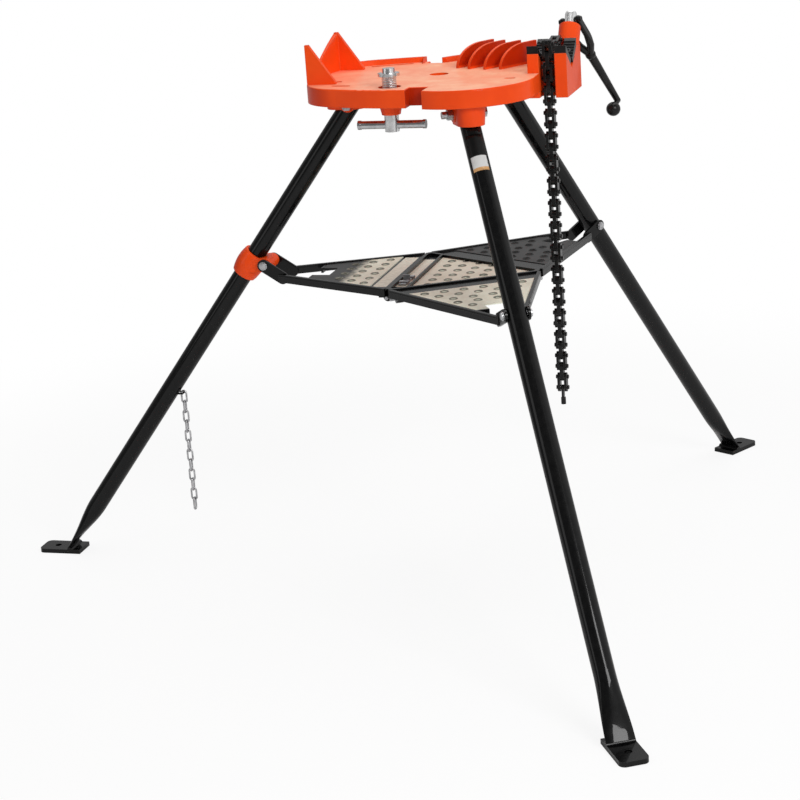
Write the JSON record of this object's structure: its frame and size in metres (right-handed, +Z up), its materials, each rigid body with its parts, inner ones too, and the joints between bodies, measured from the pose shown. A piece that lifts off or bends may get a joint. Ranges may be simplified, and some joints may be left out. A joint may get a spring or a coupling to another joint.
{
  "type": "tripod pipe vise stand",
  "caption": "Folding tripod stand with a chain pipe vise, pipe rest, bender fins, ceiling brace screw and a folding tool tray.",
  "frame": {"origin": "on the floor, at the middle of the circle through the three foot holes", "axes": "+Z up, +X from the rear leg towards the vise, +Y to the left of the vise"},
  "size_m": [1.28, 1.475, 0.972],
  "materials": {
    "orange_paint": "gloss enamel on cast iron",
    "black_paint": "gloss black enamel",
    "cream_sheet": "satin cream coat on sheet steel",
    "dark_sheet": "satin dark grey coat on sheet steel",
    "black_oxide": "black oxide, oiled",
    "bright_steel": "bright plated, turned",
    "zinc": "zinc plated"
  },
  "bodies": {
    "head": {"base_casting": "orange_paint", "vise_jaw_near": "black_oxide", "vise_jaw_far": "black_oxide", "jaw_screws": "zinc", "leg_pivot_bolts": "zinc", "leg_pivot_nuts": "zinc"},
    "leg_rear": {"leg_tube_rear": "black_paint", "leg_collar": "orange_paint", "collar_pin": "zinc", "tie_chain_eye": "black_paint"},
    "leg_front_right": {"leg_tube_front_right": "black_paint", "leg_pin_front_right": "zinc"},
    "leg_front_left": {"leg_tube_front_left": "black_paint", "leg_pin_front_left": "zinc"},
    "tray_middle": {"tray_center_frame": "black_paint", "tray_center_panel": "cream_sheet", "tray_hinge_pins": "zinc", "tray_latch_staples": "zinc"},
    "tray_latch": {"tray_latch_bolt": "zinc"},
    "wing_rear": {"wing_frame_rear": "black_paint", "wing_panel_rear": "cream_sheet", "fork_rivets_rear": "zinc"},
    "wing_front_right": {"wing_frame_front_right": "black_paint", "wing_panel_front_right": "cream_sheet", "fork_rivets_front_right": "zinc"},
    "wing_front_left": {"wing_frame_front_left": "black_paint", "wing_panel_front_left": "dark_sheet", "fork_rivets_front_left": "zinc"},
    "brace_cap": {"brace_cap": "bright_steel"},
    "brace_screw": {"brace_screw": "bright_steel"},
    "brace_tbar": {"brace_tbar": "bright_steel"},
    "vise_screw": {"vise_screw": "bright_steel", "crank_fork_pin": "black_oxide"},
    "crank": {"crank_handle": "black_oxide", "crank_knob": "black_oxide"},
    "clamp_nut": {"clamp_nut": "black_oxide"},
    "chain_span": {"chain_span_plates": "black_oxide", "chain_span_cores": "black_oxide"},
    "chain_hang_1": {"chain_hang_1_plates": "black_oxide", "chain_hang_1_cores": "black_oxide"},
    "chain_hang_2": {"chain_hang_2_plates": "black_oxide", "chain_hang_2_cores": "black_oxide"},
    "chain_hang_3": {"chain_hang_3_plates": "black_oxide", "chain_hang_3_cores": "black_oxide"},
    "chain_tail": {"chain_tail": "black_oxide"},
    "tie_chain": {"tie_chain": "zinc"}
  },
  "joints": [
    {"name": "leg_rear_fold", "type": "hinge", "parent": "head", "child": "leg_rear", "pos_m": [-0.1585, 0, 0.842], "axis": [0, -1, 0], "range_deg": [0, 36.87]},
    {"name": "leg_front_right_fold", "type": "hinge", "parent": "head", "child": "leg_front_right", "pos_m": [0.07925, -0.13726, 0.842], "axis": [0.866, 0.5, 0], "range_deg": [0, 36.89]},
    {"name": "leg_front_left_fold", "type": "hinge", "parent": "head", "child": "leg_front_left", "pos_m": [0.07925, 0.13726, 0.842], "axis": [-0.866, 0.5, 0], "range_deg": [0, 36.89]},
    {"name": "tray_lift", "type": "slide", "parent": "head", "child": "tray_middle", "axis": [0, 0, 1], "range_m": [0, 0.23262]},
    {"name": "wing_rear_fold", "type": "hinge", "parent": "tray_middle", "child": "wing_rear", "pos_m": [-0.08094, 0, 0.531], "axis": [0, -1, 0], "range_deg": [0, 85.82]},
    {"name": "wing_front_right_fold", "type": "hinge", "parent": "tray_middle", "child": "wing_front_right", "pos_m": [0.0425, -0.07361, 0.531], "axis": [0.866, 0.5, 0], "range_deg": [0, 80.11]},
    {"name": "wing_front_left_fold", "type": "hinge", "parent": "tray_middle", "child": "wing_front_left", "pos_m": [0.0425, 0.07361, 0.531], "axis": [-0.866, 0.5, 0], "range_deg": [0, 80.11]},
    {"name": "latch_slide", "type": "slide", "parent": "tray_middle", "child": "tray_latch", "axis": [0, 1, 0], "range_m": [0, 0.012]},
    {"name": "brace_lift", "type": "slide", "parent": "head", "child": "brace_cap", "axis": [0, 0, 1], "range_m": [-0.0279, 0.0031]},
    {"name": "brace_turn", "type": "hinge", "parent": "brace_cap", "child": "brace_screw", "pos_m": [-0.05, -0.131, 0.825], "axis": [0, 0, 1], "range_deg": [-2000, 216]},
    {"name": "tbar_slide", "type": "slide", "parent": "brace_screw", "child": "brace_tbar", "axis": [1, 0, 0], "range_m": [-0.03, 0.03]},
    {"name": "screw_turn", "type": "hinge", "parent": "head", "child": "vise_screw", "pos_m": [0.2055, 0.11443, 0.95479], "axis": [0, 0.6157, 0.788], "range_deg": [-190, 38]},
    {"name": "crank_fold", "type": "hinge", "parent": "vise_screw", "child": "crank", "pos_m": [0.2055, 0.11443, 0.95479], "axis": [0.9613, -0.2172, 0.1697], "range_deg": [0, 200]},
    {"name": "nut_travel", "type": "slide", "parent": "head", "child": "clamp_nut", "axis": [0, 0.6157, 0.788], "range_m": [-0.0026, 0.0026]},
    {"name": "chain_span_lift", "type": "hinge", "parent": "clamp_nut", "child": "chain_span", "pos_m": [0.1905, 0.059, 0.93], "axis": [-1, 0, 0], "range_deg": [0, 12]},
    {"name": "chain_swing_1", "type": "hinge", "parent": "chain_span", "child": "chain_hang_1", "pos_m": [0.1905, -0.0146, 0.9336], "axis": [-1, 0, 0], "range_deg": [0, 12]},
    {"name": "chain_swing_2", "type": "hinge", "parent": "chain_hang_1", "child": "chain_hang_2", "pos_m": [0.1905, -0.0146, 0.72405], "axis": [-1, 0, 0], "range_deg": [-12, 12]},
    {"name": "chain_swing_3", "type": "hinge", "parent": "chain_hang_2", "child": "chain_hang_3", "pos_m": [0.1905, -0.0146, 0.5145], "axis": [-1, 0, 0], "range_deg": [-20, 20]},
    {"name": "chain_tail_swing", "type": "hinge", "parent": "chain_hang_3", "child": "chain_tail", "pos_m": [0.1905, -0.0146, 0.34305], "axis": [-1, 0, 0], "range_deg": [-45, 45]},
    {"name": "tie_chain_swing", "type": "hinge", "parent": "leg_rear", "child": "tie_chain", "pos_m": [-0.52163, 0, 0.318], "axis": [0, 1, 0], "range_deg": [-60, 20]}
  ],
  "couplings": [
    {"joint": "leg_front_right_fold", "follows": "leg_rear_fold", "ratio": 1},
    {"joint": "leg_front_left_fold", "follows": "leg_rear_fold", "ratio": 1},
    {"joint": "tray_lift", "follows": "leg_rear_fold", "m_per_rad": 0.36133},
    {"joint": "wing_rear_fold", "follows": "leg_rear_fold", "ratio": 2.3264},
    {"joint": "wing_front_right_fold", "follows": "leg_rear_fold", "ratio": 2.1713},
    {"joint": "wing_front_left_fold", "follows": "leg_rear_fold", "ratio": 2.1713},
    {"joint": "brace_lift", "follows": "brace_turn", "m_per_rad": 0.00079577},
    {"joint": "nut_travel", "follows": "screw_turn", "m_per_rad": 0.00063662}
  ]
}
